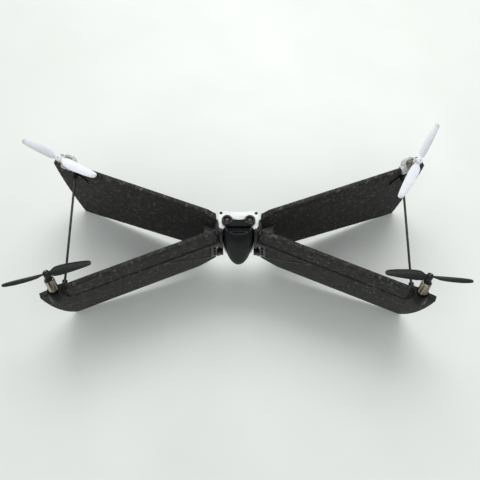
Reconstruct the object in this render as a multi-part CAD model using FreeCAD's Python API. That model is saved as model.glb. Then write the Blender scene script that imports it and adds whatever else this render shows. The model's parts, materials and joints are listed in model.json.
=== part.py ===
import FreeCAD, Part
import math
import os

# A small four-rotor tail-sitting drone with an X of foam wings, standing on
# the trailing edges of its wing tips.  Millimetres.  +Z is the flight axis,
# +X is to the right along the span, and +Y is the belly side.  The origin is
# on the fuselage axis, on the plane that the wing tips stand on.

V = FreeCAD.Vector

# ---- wings: each is built flat in a frame of its own, where x runs out
# ---- along the span, y is the outward normal and z is up
wing_angle = 21.2            # each wing plane stands this far from the XZ plane
wing_tip = 174.0             # fuselage axis to the tip's leading corner
wing_root = 21.5             # fuselage axis to the root edge
lead_root_z = 88.5           # leading edge at the root
lead_tip_z = 80.5            # leading edge at the tip
trail_root_z = 14.0          # trailing edge line at the root
wing_offset = -2.45          # wing mid-plane from the fuselage axis
wing_incidence = 2.8         # leading edge turned outward, degrees
tip_washout = 2.2            # the tip's trailing edge lies this much further in
lead_thick = 5.0
crown_thick = 6.8            # thickest, a third of the chord behind the lead
trail_thick = 2.0
foot_length = 6.0            # the part of the trailing edge that is flat at z = 0
foot_inset = 18.0            # its outer end, inboard of the tip
tip_bow = 1.7                # how far the tip edge bows out of its chord
tip_drop = 2.7               # the leading edge falls away at the tip
tip_drop_run = 10.0
root_cut_lead = 10.0         # slanted corner at the root's leading edge
root_cut_trail = 16.0
foam_clear = 0.05            # between foam and what is let into it

# ---- wire channel in each wing's outer face
wire_diameter = 1.1
wire_lift = 0.1              # the wire's gap to the channel's floor
channel_width = 2.6
channel_floor = 0.9          # the floor's normal offset
channel_root_z = 70.5
channel_tip_z = 60.5
channel_inset = 7.5          # where it turns up, inboard of the motor
channel_bend = 6.0           # radius of that turn

# ---- root bracket: a triangular frame let into the outer face, with a
# ---- ladder of square holes at its root and a tab on the inner face
bracket_reach = 70.0         # apex, from the fuselage axis
bracket_apex_z = 63.4
bracket_low_z = 37.5
bracket_high_gap = 0.8       # between the channel and the plate's upper edge
bracket_thick = 1.7
bracket_proud = 0.35
bracket_bar = 1.7            # width of the frame's two long bars
window_tip = 1.0             # height of the triangle's opening at its far end
ladder_width = 5.4           # along the span, from the root edge
ladder_bar = 1.0             # rail between the root edge and the holes
bracket_hole_width = 2.2
bracket_hole_height = 5.4
bracket_hole_pitch = 7.3
bracket_hole_low_z = 44.9
tab_reach = 9.5              # tab on the inner face, outward from the root edge
tab_low_z = 46.0
tab_high_z = 65.0
tab_thick = 1.0
lug_end = 18.6               # how near the fuselage axis the two lugs reach
lug_outer = 3.4              # normal offsets of the lugs
lug_inner = -4.3
lug_gap_low_z = 45.0         # open gap between the lower lug and the upper one
lug_gap_high_z = 61.0

# ---- motors
motor_inset = 13.0           # hub centre, inboard of the wing tip
motor_out = -6.4             # hub centre, along the wing's normal
motor_rise = 20.6            # hub centre above the leading edge
motor_tilt = 22.0            # the axis leans inward, degrees
can_diameter = 8.5
can_length = 20.0
can_edge = 0.6               # rounding of the top rim
can_drop = 6.2               # hub centre to the can's top
cap_thick = 1.6
cap_inset = 0.1              # the cap is this much smaller all round than the can
cap_boss_diameter = 2.4
cap_boss_height = 0.6
shaft_diameter = 1.0
shaft_above = 3.4            # shaft end above the hub centre
shaft_foot = 2.4             # shaft's lower end, above the can's base
shaft_foot_gap = 0.4
cup_wall = 1.7
cup_bore_clear = 0.05
cup_diameter = can_diameter + 2 * (cup_bore_clear + cup_wall)
cap_clear = 0.1              # between the motor's cap and the cup's floor
boss_height = 0.8            # bearing boss on the can's top
boss_diameter = 3.0
cup_height = 9.5
cup_floor = 1.2
cup_wire_hole = 5.0
saddle_wall = 1.2            # clip that grips the leading edge
saddle_inboard = 9.5         # its ends, from the hub centre
saddle_outboard = 5.0
saddle_depth = 3.6           # skirt below the leading edge
saddle_scallops = 3
saddle_wave = 0.9

# ---- propellers
prop_diameter = 72.8
prop_hub_diameter = 5.6
prop_hub_height = 5.0
prop_collar_diameter = 6.2
collar_gap = 0.3             # to the bearing boss of the motor can
shaft_clear = 0.02
blade_rest = {"front_left": 4.0, "front_right": 40.5, "rear_left": 172.0, "rear_right": 158.5}

# ---- struts between the wings of each side
strut_diameter = 2.0
strut_inset = 8.0            # inboard of the motor
strut_drop = 7.6             # below the leading edge
socket_wall = 1.15
socket_length = 5.0
socket_clear = 0.05
socket_diameter = strut_diameter + 2 * (socket_clear + socket_wall)
socket_floor = 1.6
clip_radius = 11.0           # the clip is an arched bar with the strut under it
clip_bar = 1.5
clip_inboard = 10.5
clip_outboard = 5.0
clip_thick = 1.2

# ---- fuselage
plate_z = 82.0               # top of the white face plate
plate_thick = 1.8
plate_half = 16.8            # half width
plate_front_y = 13.2
seam_y = -3.5                # plane where the belly shell meets the dorsal shell
shell_wall = 1.4
tail_z = 28.0
tail_half = 12.0
tail_front_y = 9.5
waist_z = 58.0
corner_round = 3.2
dorsal_gap = 0.15
bay_wall = 1.6               # wall round the battery's mouth

# dorsal shell: height, half width and depth behind the seam, from the top
dorsal_half = 13.2
dorsal_stations = [
    (86.2, 11.6, 7.3),
    (83.5, 12.7, 9.6),
    (80.0, 13.0, 11.3),
    (66.0, dorsal_half, 13.6),
    (50.0, 12.4, 14.4),
    (38.0, 10.4, 14.0),
    (29.0, 7.6, 11.6),
    (24.5, 5.0, 8.4),
    (21.5, 2.4, 4.4),
]

eye_spacing = 19.2           # centre to centre
eye_y = 3.6
eye_diameter = 9.1
eye_top_z = 85.4
lens_diameter = 5.8
eye_bore = lens_diameter + 0.2
lens_depth = 2.6             # the lens's seat, below the eye's rim
lens_rise = 1.8
nose_half = 8.4              # bridge between the eyes
nose_flare = 11.3            # its half width at the battery's mouth
nose_front = 4.6
nose_dish = 0.8              # hollow of its front edge
nose_top = 85.6
nose_deep = 5.0              # how far it reaches below the face plate
nose_slope = 12.0            # its top falls towards the battery's mouth, degrees
deck_half = 14.2             # deck under the face plate that carries the bridge
deck_thick = 2.2
deck_front = 6.0
lobe_x = 13.2                # rounded lobes of the plate beside the nose
lobe_radius = 3.6

battery_width = 17.0
battery_thick = 5.2
battery_length = 40.0
battery_top_z = 80.0
battery_back_y = -3.3        # the face next to the seam wall
battery_clear = 0.25
battery_wall = 0.8

board_width = 22.0
board_length = 40.0
board_thick = 1.2
board_y = 3.0
board_low_z = 34.0

button_diameter = 6.0
button_travel = 0.6
button_z = 44.0
button_proud = 0.5
switch_height = 0.9
usb_z = 64.0
usb_width = 7.6
usb_height = 2.8
usb_depth = 5.4

frame_low_z = 37.0
frame_high_z = 84.0
frame_thick = 3.4
frame_split_y = 3.0          # the white upright starts here
frame_split_gap = 0.2
frame_front_y = 7.4
frame_back_y = -9.5
side_gap = 0.15              # between the shell and the uprights
snug = 0.1                   # clearance round what is let into the shells

screw_head = 2.6
screw_shank = 1.6
screw_length = 7.0
screw_x = 15.0
screw_y = 11.3

sonar_diameter = 8.4
sonar_height = 4.0
sonar_proud = 0.8            # below the tail
sonar_dish = 0.6             # depth of its mouth
sonar_rim = 0.6
sonar_x = 6.4
sensor_y = 3.0
camera_diameter = 5.0

CORNERS = ["front_right", "front_left", "rear_right", "rear_left"]

os.makedirs("parts", exist_ok=True)


# ---- helpers ----------------------------------------------------------

def save(name, shape):
    """Write one node; a group of loose solids stays a compound."""
    shape.exportStep("parts/" + name + ".step")


def box(x0, x1, y0, y1, z0, z1):
    return Part.makeBox(x1 - x0, y1 - y0, z1 - z0, V(x0, y0, z0))


def rod(radius, start, end):
    axis = end.sub(start)
    return Part.makeCylinder(radius, axis.Length, start, axis)


def polygon(points):
    return Part.makePolygon(points + [points[0]])


def solid_of(shape):
    """The one solid that a boolean result holds."""
    clean = shape.removeSplitter()
    largest = max(clean.Solids, key=lambda s: s.Volume)
    return largest


def to_corner(shape, corner):
    """Turn a shape from the wing's own frame into its corner of the X."""
    moved = shape.copy()
    moved.rotate(V(0, 0, 0), V(0, 0, 1), wing_angle)
    if corner.endswith("left"):
        moved = moved.mirror(V(0, 0, 0), V(1, 0, 0))
    if corner.startswith("rear"):
        moved = moved.mirror(V(0, 0, 0), V(0, 1, 0))
    return moved


def to_motor(shape):
    """Put a shape built about the hub centre onto the tilted motor axis."""
    moved = shape.copy()
    moved.rotate(V(0, 0, 0), V(1, 0, 0), motor_tilt)
    moved.translate(V(motor_along, motor_out, motor_high))
    return moved


# ---- wing geometry ------------------------------------------------------

foot_end = wing_tip - foot_inset
foot_start = foot_end - foot_length


def lead_z(s):
    share = (s - wing_root) / (wing_tip - wing_root)
    return lead_root_z + (lead_tip_z - lead_root_z) * share


def trail_z(s):
    share = (s - wing_root) / (foot_start - wing_root)
    return trail_root_z * (1.0 - share)


def mid_n(z):
    """Normal offset of the wing's mid-plane at a height."""
    return wing_offset + (z - 35.0) * math.tan(math.radians(wing_incidence))


def washout(s):
    return tip_washout * (s - wing_root) / (wing_tip - wing_root)


motor_along = wing_tip - motor_inset
motor_high = lead_z(motor_along) + motor_rise
strut_along = motor_along - strut_inset
strut_z = lead_z(strut_along) - strut_drop
channel_turn = motor_along - channel_inset
saddle_in = motor_along - saddle_inboard
saddle_out = motor_along + saddle_outboard


def section(s, extra):
    """Closed wing section at one place along the span, swollen by extra."""
    top = lead_z(s)
    low = trail_z(s)
    chord = top - low
    inner_top = mid_n(top) - lead_thick / 2
    inner_low = mid_n(low) - trail_thick / 2 - washout(s)
    crown_z = top - chord / 3.0
    share = (crown_z - low) / chord
    crown_n = inner_low + (inner_top - inner_low) * share + crown_thick
    nose = lead_thick / 2
    a = V(s, inner_low - extra, low - extra)
    b = V(s, inner_top - extra, top - nose)
    c = V(s, mid_n(top), top + extra)
    d = V(s, inner_top + lead_thick + extra, top - nose)
    e = V(s, crown_n + extra, crown_z)
    f = V(s, inner_low + trail_thick + extra, low - extra)
    inner = Part.LineSegment(a, b).toShape()
    lead = Part.Arc(b, c, d).toShape()
    outer = Part.BSplineCurve()
    outer.interpolate([d, e, f])
    trail = Part.LineSegment(f, a).toShape()
    return Part.Wire([inner, lead, outer.toShape(), trail])


def wing_body(extra):
    """The untrimmed wing: one loft, a little longer than the wing."""
    ends = [section(wing_root - 6.0, extra), section(wing_tip + 4.0, extra)]
    return Part.makeLoft(ends, True, True)


def planform():
    """Trims the loft to the tip's curve, the root's corners and the foot."""
    high = lead_root_z + 10.0
    tip_top = V(wing_tip, -20, lead_tip_z - tip_drop)
    tip_low = V(foot_end, -20, 0)
    mid = V((tip_top.x + tip_low.x) / 2, -20, tip_top.z / 2)
    lean = math.atan2(tip_top.x - tip_low.x, tip_top.z)
    drop_s = wing_tip - tip_drop_run
    bow = V(mid.x + tip_bow * math.cos(lean), -20, mid.z - tip_bow * math.sin(lean))
    root_top = lead_z(wing_root) - root_cut_lead * 0.6
    corners = [
        V(foot_start, -20, 0),
        V(foot_start - 30.0, -20, trail_z(foot_start - 30.0) - 0.01),
        V(wing_root + root_cut_trail, -20, trail_z(wing_root + root_cut_trail) - 0.01),
        V(wing_root, -20, trail_z(wing_root) + root_cut_trail),
        V(wing_root, -20, root_top),
        V(wing_root + root_cut_lead, -20, lead_z(wing_root + root_cut_lead)),
        V(wing_root + root_cut_lead + 8.0, -20, high),
        V(drop_s, -20, high),
        V(drop_s, -20, lead_z(drop_s)),
        tip_top,
    ]
    edges = [Part.LineSegment(p, q).toShape() for p, q in zip(corners, corners[1:])]
    edges.append(Part.Arc(tip_top, bow, tip_low).toShape())
    edges.append(Part.LineSegment(tip_low, corners[0]).toShape())
    return Part.Face(Part.Wire(edges)).extrude(V(0, 40, 0))


def channel_z(s):
    share = (s - wing_root) / (channel_turn - channel_bend - wing_root)
    return channel_root_z + (channel_tip_z - channel_root_z) * share


def channel_path(n):
    """Wire route: along the span, then up to the motor, one arc between."""
    turn_z = channel_z(channel_turn - channel_bend)
    start = V(lug_end + 0.6, n, channel_z(lug_end + 0.6))
    bend_in = V(channel_turn - channel_bend, n, turn_z)
    direction = bend_in.sub(start).normalize()
    corner = V(channel_turn, n, turn_z + direction.z / direction.x * channel_bend)
    bend_out = V(channel_turn, n, corner.z + corner.distanceToPoint(bend_in))
    top = V(channel_turn, n, lead_z(saddle_in) - saddle_depth + 1.5)
    # the tangent arc leaves along the run and arrives straight up
    half = math.pi / 2 - math.atan2(direction.z, direction.x)
    radius = corner.distanceToPoint(bend_in) / math.tan(half / 2)
    centre = V(channel_turn - radius, n, bend_out.z)
    middle = math.radians(-90) / 2 + math.atan2(direction.z, direction.x) / 2
    through = V(centre.x + radius * math.cos(middle), n, centre.z + radius * math.sin(middle))
    edges = [
        Part.LineSegment(start, bend_in).toShape(),
        Part.Arc(bend_in, through, bend_out).toShape(),
        Part.LineSegment(bend_out, top).toShape(),
    ]
    return Part.Wire(edges), start, direction


def channel_cut(n_floor):
    """A slot of constant width whose floor lies at one normal offset."""
    path, start, direction = channel_path(n_floor)
    side = V(-direction.z, 0, direction.x)
    half = channel_width / 2
    a = start.sub(side.multiply(half))
    b = V(2 * start.x - a.x, start.y, 2 * start.z - a.z)
    profile = polygon([a, b, V(b.x, b.y + 12, b.z), V(a.x, a.y + 12, a.z)])
    return path.makePipeShell([profile], True, True, 2)


channel_cutter = channel_cut(channel_floor)


def bracket_low(s):
    """Lower edge of the triangle: level at the root, then up to the apex."""
    start = wing_root + ladder_width
    share = max(0.0, (s - start) / (bracket_reach - start))
    return bracket_low_z + (bracket_apex_z - bracket_low_z) * share


def bracket_high(s):
    return channel_z(s) - bracket_high_gap - channel_width / 2


def bracket_outline(grow):
    """Triangle with a cut-off root end, below the wire channel."""
    bend = wing_root + ladder_width
    apex = bracket_reach + grow
    pts = [
        V(lug_end, -5, bracket_low_z - grow),
        V(bend, -5, bracket_low_z - grow),
        V(apex, -5, bracket_low(bracket_reach) - grow),
        V(apex, -5, bracket_high(apex) + grow),
        V(lug_end, -5, bracket_high(lug_end) + grow),
    ]
    return Part.Face(polygon(pts)).extrude(V(0, 20, 0))


def bracket_window(grow):
    """Opening inside the triangle, which the foam shows through."""
    bar = bracket_bar - grow
    start = wing_root + ladder_width - grow
    tall = bracket_high(start) - bracket_low(start)
    short = bracket_high(bracket_reach) - bracket_low(bracket_reach)
    share = (tall - 2 * bar - window_tip) / (tall - short)
    end = start + (bracket_reach - start) * share
    pts = [
        V(start, -6, bracket_low(start) + bar),
        V(end, -6, bracket_low(end) + bar),
        V(end, -6, bracket_high(end) - bar),
        V(start, -6, bracket_high(start) - bar),
    ]
    return Part.Face(polygon(pts)).extrude(V(0, 22, 0))


wing_loft = wing_body(0.0)


def bracket_skin(low_extra, high_extra):
    """Layer that follows the wing's outer face between two offsets."""
    high = wing_body(high_extra)
    low = wing_body(low_extra)
    outer_half = box(lug_end - 5, wing_tip, 0.6, 12, 0, 100)
    return high.cut(low).common(outer_half)


def inner_tab():
    """Plate on the wing's inner face, carried by the upper lug."""
    layer = wing_body(tab_thick).cut(wing_body(foam_clear))
    outline = [
        V(wing_root - 0.6, -12, lug_gap_high_z),
        V(wing_root - 0.6, -12, tab_high_z),
        V(wing_root + tab_reach, -12, tab_high_z),
        V(wing_root + tab_reach, -12, tab_low_z + 5.0),
        V(wing_root + tab_reach - 4.0, -12, tab_low_z),
        V(wing_root + 0.5, -12, tab_low_z),
        V(wing_root + 0.5, -12, lug_gap_high_z),
    ]
    inner_side = Part.Face(polygon(outline)).extrude(V(0, 11.5, 0))
    return layer.common(inner_side)


def wing_bracket():
    skin = bracket_skin(bracket_proud - bracket_thick, bracket_proud)
    plate = skin.common(bracket_outline(0.0)).cut(bracket_window(0.0))
    seat = wing_root - foam_clear
    gap = box(0, seat, -20, 20, lug_gap_low_z, lug_gap_high_z)
    plate = plate.cut(gap)
    low_lug = box(lug_end, seat, -1.0, lug_outer, bracket_low_z, lug_gap_low_z)
    high_lug = box(lug_end, seat, lug_inner, lug_outer, lug_gap_high_z, bracket_high(lug_end))
    body = plate.fuse([low_lug, high_lug, inner_tab()])
    for index in range(3):
        low = bracket_hole_low_z + index * bracket_hole_pitch - bracket_hole_height / 2
        s = wing_root + ladder_bar
        body = body.cut(box(s, s + bracket_hole_width, 0.5, 12, low, low + bracket_hole_height))
    return solid_of(body)


def motor_cylinder(radius, low, high):
    return rod(radius, V(0, 0, low), V(0, 0, high))


can_top = -can_drop
can_low = can_top - can_length
cap_low = can_low - cap_thick
cup_low = cap_low - cup_floor - cap_clear
cup_top = cup_low + cup_height


def foam_wing():
    body = wing_loft.common(planform())
    body = body.cut(channel_cutter)
    grown = bracket_skin(bracket_proud - bracket_thick - foam_clear, 3.0)
    body = body.cut(grown.common(bracket_outline(foam_clear).cut(bracket_window(-foam_clear))))
    seat = motor_cylinder(cup_diameter / 2 + foam_clear, cup_low - foam_clear, 8.0)
    body = body.cut(to_motor(seat))
    return solid_of(body)


def saddle_outline():
    """Strip over the leading edge with a scalloped lower edge."""
    high = lead_z(saddle_in) + saddle_wall + 3.0
    step = (saddle_out - saddle_in) / saddle_scallops
    knots = [saddle_in + step * index for index in range(saddle_scallops + 1)]
    low = [V(s, -15, lead_z(s) - saddle_depth) for s in knots]
    edges = []
    for left, right in zip(low, low[1:]):
        middle = left.add(right).multiply(0.5)
        edges.append(Part.Arc(left, middle.sub(V(0, 0, saddle_wave)), right).toShape())
    corners = [low[-1], V(saddle_out, -15, high), V(saddle_in, -15, high), low[0]]
    edges += [Part.LineSegment(p, q).toShape() for p, q in zip(corners, corners[1:])]
    return Part.Face(Part.Wire(edges)).extrude(V(0, 30, 0))


def motor_mount():
    shell = wing_body(saddle_wall).cut(wing_body(foam_clear))
    body = shell.common(saddle_outline())
    cup = to_motor(motor_cylinder(cup_diameter / 2, cup_low, cup_top))
    body = body.fuse(cup)
    bore = motor_cylinder(can_diameter / 2 + cup_bore_clear, cap_low - cap_clear, 8.0)
    wire_hole = motor_cylinder(cup_wire_hole / 2, cup_low - 6.0, 0.0)
    body = body.cut(to_motor(bore)).cut(to_motor(wire_hole))
    body = body.cut(channel_cutter)
    return solid_of(body)


def motor_can():
    body = motor_cylinder(can_diameter / 2, can_low, can_top)
    rim = [e for e in body.Edges if abs(e.BoundBox.ZMin - can_top) < 0.01]
    body = body.makeFillet(can_edge, [e for e in rim if e.Closed])
    body = body.fuse(motor_cylinder(boss_diameter / 2, can_top, can_top + boss_height))
    bore_low = can_low + shaft_foot - shaft_foot_gap
    bore = motor_cylinder(shaft_diameter / 2 + shaft_clear, bore_low, can_top + 2 * boss_height)
    return solid_of(body.cut(bore))


def motor_cap():
    body = motor_cylinder(can_diameter / 2 - cap_inset, cap_low, can_low)
    body = body.fuse(motor_cylinder(cap_boss_diameter / 2, cap_low - cap_boss_height, cap_low))
    return solid_of(body)


def motor_shaft():
    return motor_cylinder(shaft_diameter / 2, can_low + shaft_foot, shaft_above)


def blade_section(radius, chord, twist, thick):
    """Thin cambered section, square to the blade, as one closed curve."""
    pts = []
    count = 8
    for index in range(count):
        turn = -2 * math.pi * index / count
        x = chord / 2 * math.cos(turn)
        y = thick / 2 * math.sin(turn) + 0.07 * chord * (1 - (2 * x / chord) ** 2)
        c = math.cos(math.radians(twist))
        s = math.sin(math.radians(twist))
        pts.append(V(radius, x * c - y * s, x * s + y * c))
    curve = Part.BSplineCurve()
    curve.interpolate(pts, PeriodicFlag=True)
    return Part.Wire(curve.toShape())


def blade():
    tip = prop_diameter / 2
    stations = [
        (1.6, 3.6, 30.0, 1.5),
        (tip * 0.13, 5.4, 28.0, 1.3),
        (tip * 0.22, 8.2, 25.0, 1.2),
        (tip * 0.45, 8.8, 20.0, 0.9),
        (tip * 0.75, 7.8, 14.0, 0.7),
        (tip * 0.94, 6.6, 11.0, 0.6),
        (tip * 0.985, 5.0, 10.0, 0.5),
        (tip, 2.6, 10.0, 0.4),
    ]
    wires = [blade_section(*row) for row in stations]
    return Part.makeLoft(wires, True, True)


def propeller():
    one = blade()
    other = one.copy()
    other.rotate(V(0, 0, 0), V(0, 0, 1), 180)
    hub_low = -prop_hub_height / 2
    collar_low = can_top + boss_height + collar_gap
    hub = motor_cylinder(prop_hub_diameter / 2, hub_low, -hub_low)
    collar = motor_cylinder(prop_collar_diameter / 2, collar_low, hub_low)
    body = hub.fuse([collar, one, other])
    bore = motor_cylinder(shaft_diameter / 2 + shaft_clear, -20, 20)
    return solid_of(body.cut(bore))


def motor_wires():
    """The motor's lead, lying in the channel from the mount to the root."""
    path, start, direction = channel_path(channel_floor + wire_diameter / 2 + wire_lift)
    profile = Part.Wire(Part.Circle(start, direction, wire_diameter / 2).toShape())
    tube = path.makePipeShell([profile], True, True, 2)
    return solid_of(tube)


# ---- struts -------------------------------------------------------------

turn = math.radians(wing_angle)
strut_n = mid_n(strut_z) - lead_thick / 2
strut_x = strut_along * math.cos(turn) - strut_n * math.sin(turn)
strut_end_y = strut_along * math.sin(turn) + strut_n * math.cos(turn)


def strut(side):
    end = strut_end_y - socket_floor
    return rod(strut_diameter / 2, V(side * strut_x, -end, strut_z), V(side * strut_x, end, strut_z))


def strut_clip():
    """Front right clip: an arched bar on the foam's inner face, with a socket."""
    layer = wing_body(clip_thick).cut(wing_body(foam_clear))
    low_z = strut_z - clip_radius
    centre = V(strut_along, -25, low_z)
    ring = Part.makeCylinder(clip_radius, 24.5, centre, V(0, 1, 0))
    ring = ring.cut(Part.makeCylinder(clip_radius - clip_bar, 24.5, centre, V(0, 1, 0)))
    reach = box(strut_along - clip_inboard, strut_along + clip_outboard, -30, 0, low_z, 100)
    pad = Part.makeCylinder(socket_diameter / 2 + 0.8, 24.5, V(strut_along, -25, strut_z), V(0, 1, 0))
    plate = layer.common(ring.common(reach).fuse(pad))
    plate.rotate(V(0, 0, 0), V(0, 0, 1), wing_angle)
    low = V(strut_x, strut_end_y - socket_length, strut_z)
    socket = rod(socket_diameter / 2, low, V(strut_x, strut_end_y + 1.2, strut_z))
    foam = wing_body(foam_clear)
    foam.rotate(V(0, 0, 0), V(0, 0, 1), wing_angle)
    body = plate.fuse(socket).cut(foam)
    bore_end = V(strut_x, strut_end_y - socket_floor + snug, strut_z)
    bore = rod(strut_diameter / 2 + socket_clear, V(strut_x, 0, strut_z), bore_end)
    return solid_of(body.cut(bore))


def strut_clips():
    one = strut_clip()
    pair = [one, one.mirror(V(0, 0, 0), V(1, 0, 0))]
    others = [s.mirror(V(0, 0, 0), V(0, 1, 0)) for s in pair]
    return Part.makeCompound(pair + others)


# ---- fuselage -------------------------------------------------------------

def rounded_wire(half, y0, y1, z, radius):
    """Rectangle with its two +Y corners rounded."""
    a = V(-half, y0, z)
    b = V(-half, y1 - radius, z)
    c = V(-half + radius, y1, z)
    k = radius * (1 - math.sqrt(0.5))
    d = V(half - radius, y1, z)
    e = V(half, y1 - radius, z)
    f = V(half, y0, z)
    edges = [
        Part.LineSegment(a, b).toShape(),
        Part.Arc(b, V(-half + k, y1 - k, z), c).toShape(),
        Part.LineSegment(c, d).toShape(),
        Part.Arc(d, V(half - k, y1 - k, z), e).toShape(),
        Part.LineSegment(e, f).toShape(),
        Part.LineSegment(f, a).toShape(),
    ]
    return Part.Wire(edges)


def belly_form(inset, y_back, top, low):
    """Loft of the belly half, drawn in by inset."""
    shoulder_half = plate_half - inset
    rad = corner_round - inset * 0.6
    wires = [
        rounded_wire(tail_half - inset, y_back, tail_front_y - inset, low, rad),
        rounded_wire(shoulder_half - 1.2, y_back, plate_front_y - inset - 0.8, waist_z, rad),
        rounded_wire(shoulder_half - 0.4, y_back, plate_front_y - inset, top, rad),
    ]
    return Part.makeLoft(wires, True, True)


plate_low = plate_z - plate_thick
nose_low = plate_low - nose_deep
nose_back_y = seam_y + 2.0


def screw_places():
    return [(-screw_x, screw_y), (screw_x, screw_y)]


def belly_shell():
    body = belly_form(0.0, seam_y, plate_low, tail_z)
    hollow = belly_form(shell_wall, seam_y - 1.0, plate_low + 1.0, tail_z + shell_wall)
    body = body.cut(hollow)
    for x, y in screw_places():
        boss = rod(2.4, V(x, y, plate_low - screw_length - 1), V(x, y, plate_low))
        body = body.fuse(boss.common(belly_form(0.0, seam_y, plate_low, tail_z)))
        body = body.cut(rod(screw_shank / 2, V(x, y, plate_low - screw_length), V(x, y, plate_z)))
    half = usb_width / 2 + snug
    tall = usb_height / 2 + snug
    seat = box(-half, half, board_y + board_thick, 30, usb_z - tall, usb_z + tall)
    body = body.cut(seat)
    body = body.cut(rod(button_diameter / 2 + 0.3, V(0, 4, button_z), V(0, 30, button_z)))
    for x in (-sonar_x, sonar_x):
        body = body.cut(rod(sonar_diameter / 2 + snug, V(x, sensor_y, 0), V(x, sensor_y, tail_z + 5)))
    return solid_of(body)


def nose_outline(grow):
    """Plan of the bridge: flared at the battery's mouth, dished in front."""
    back = nose_back_y - grow
    flare = nose_flare + 3 * grow      # its slanted sides need more to stay clear
    waist = nose_half + grow
    front = nose_front + grow
    corner = waist - 2.2
    edges = [
        Part.LineSegment(V(-flare, back, 0), V(flare, back, 0)).toShape(),
        Part.LineSegment(V(flare, back, 0), V(waist, 0.4, 0)).toShape(),
        Part.LineSegment(V(waist, 0.4, 0), V(corner, front, 0)).toShape(),
        Part.Arc(V(corner, front, 0), V(0, front - nose_dish, 0), V(-corner, front, 0)).toShape(),
        Part.LineSegment(V(-corner, front, 0), V(-waist, 0.4, 0)).toShape(),
        Part.LineSegment(V(-waist, 0.4, 0), V(-flare, back, 0)).toShape(),
    ]
    return Part.Face(Part.Wire(edges))


def face_plate():
    """White face plate with a shallow dip and two lobes beside the nose."""
    wire = rounded_wire(plate_half, seam_y, plate_front_y, plate_low, 2.0)
    body = Part.Face(wire).extrude(V(0, 0, plate_thick))
    dip = Part.makeCylinder(60, 10, V(0, plate_front_y + 59.0, plate_low - 2))
    body = body.cut(dip)
    throat = nose_outline(snug).extrude(V(0, 0, 200))
    mouth = box(-nose_flare - snug, nose_flare + snug, -20, nose_back_y, 0, 200)
    body = body.cut(throat).cut(mouth)
    for side in (-1, 1):
        x = side * eye_spacing / 2
        body = body.cut(rod(eye_diameter / 2 + snug, V(x, eye_y, 0), V(x, eye_y, 200)))
        lobe_y = seam_y + lobe_radius
        lobe = rod(lobe_radius, V(side * lobe_x, lobe_y, plate_low), V(side * lobe_x, lobe_y, plate_z))
        outer = box(lobe_x - lobe_radius, 20.0, seam_y - 1, lobe_y, 0, 200)
        if side < 0:
            outer = outer.mirror(V(0, 0, 0), V(1, 0, 0))
        body = body.cut(outer.cut(lobe))
    for x, y in screw_places():
        body = body.cut(rod(screw_shank / 2 + 0.2, V(x, y, 0), V(x, y, 200)))
        body = body.cut(rod(screw_head / 2 + snug, V(x, y, plate_z - 1.0), V(x, y, 200)))
    return solid_of(body)


def nose_cover():
    """Bridge between the eyes, with both eye barrels."""
    body = nose_outline(0.0).extrude(V(0, 0, nose_top - nose_low))
    body.translate(V(0, 0, nose_low))
    slope = box(-30, 30, -30, 40, 0, 12)
    slope.rotate(V(0, 0, 0), V(1, 0, 0), nose_slope)
    slope.translate(V(0, seam_y, nose_top - 1.8))
    body = body.cut(slope)
    deck_top = plate_low - snug
    deck = box(-deck_half, deck_half, seam_y + snug, deck_front, deck_top - deck_thick, deck_top)
    body = body.fuse(deck)
    for side in (-1, 1):
        x = side * eye_spacing / 2
        body = body.fuse(rod(eye_diameter / 2, V(x, eye_y, nose_low), V(x, eye_y, eye_top_z)))
    for side in (-1, 1):
        x = side * eye_spacing / 2
        body = body.cut(rod(eye_bore / 2, V(x, eye_y, eye_top_z - lens_depth), V(x, eye_y, 200)))
    return solid_of(body)


def eye_lens(side):
    x = side * eye_spacing / 2
    low = eye_top_z - lens_depth
    base = rod(lens_diameter / 2, V(x, eye_y, low), V(x, eye_y, low + 1.0))
    radius = (lens_diameter ** 2 / 4 + lens_rise ** 2) / (2 * lens_rise)
    ball = Part.makeSphere(radius, V(x, eye_y, low + 1.0 + lens_rise - radius))
    dome = ball.common(box(-50, 50, -50, 50, low + 1.0, 200))
    return solid_of(base.fuse(dome))


def dorsal_wire(z, half, depth):
    """Half ellipse behind the seam plane, closed by a straight line."""
    pts = []
    count = 12
    for index in range(count + 1):
        t = math.pi * index / count
        pts.append(V(half * math.cos(t), seam_y - dorsal_gap - depth * math.sin(t), z))
    curve = Part.BSplineCurve()
    curve.interpolate(pts)
    back = Part.LineSegment(pts[-1], pts[0]).toShape()
    return Part.Wire([curve.toShape(), back])


def dorsal_form(inset, stations):
    wires = [dorsal_wire(z, half - inset, depth - inset) for z, half, depth in stations]
    return Part.makeLoft(wires, True, False)


def battery_box(grow, low, high):
    y1 = battery_back_y - battery_clear
    y0 = y1 - battery_thick
    half = battery_width / 2
    return box(-half - grow, half + grow, y0 - grow, y1 + grow, low, high)


def dorsal_shell():
    body = dorsal_form(0.0, dorsal_stations)
    bay = battery_box(battery_clear, battery_top_z - battery_length - 0.4, 200)
    top_z, top_half, top_depth = dorsal_stations[0]
    ends = [(top_z + 1.0, top_half, top_depth), (battery_top_z + 0.6, top_half, top_depth)]
    mouth = dorsal_form(bay_wall, ends)
    body = body.cut(bay).cut(mouth)
    return solid_of(body)


def battery_case():
    low = battery_top_z - battery_length
    body = battery_box(0.0, low, battery_top_z)
    upright = [e for e in body.Edges if e.BoundBox.ZLength > battery_length - 1]
    body = body.makeFillet(1.2, upright)
    hollow = battery_box(-battery_wall, low + battery_wall, battery_top_z - 3.0)
    body = body.cut(hollow)
    pull = rod(5.0, V(0, battery_back_y - battery_clear - 14.0, battery_top_z + 1.0),
               V(0, battery_back_y - battery_clear + 3.0, battery_top_z + 1.0))
    groove = pull.common(battery_box(-1.6, battery_top_z - 1.4, 200))
    body = body.cut(groove)
    return solid_of(body)


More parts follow.
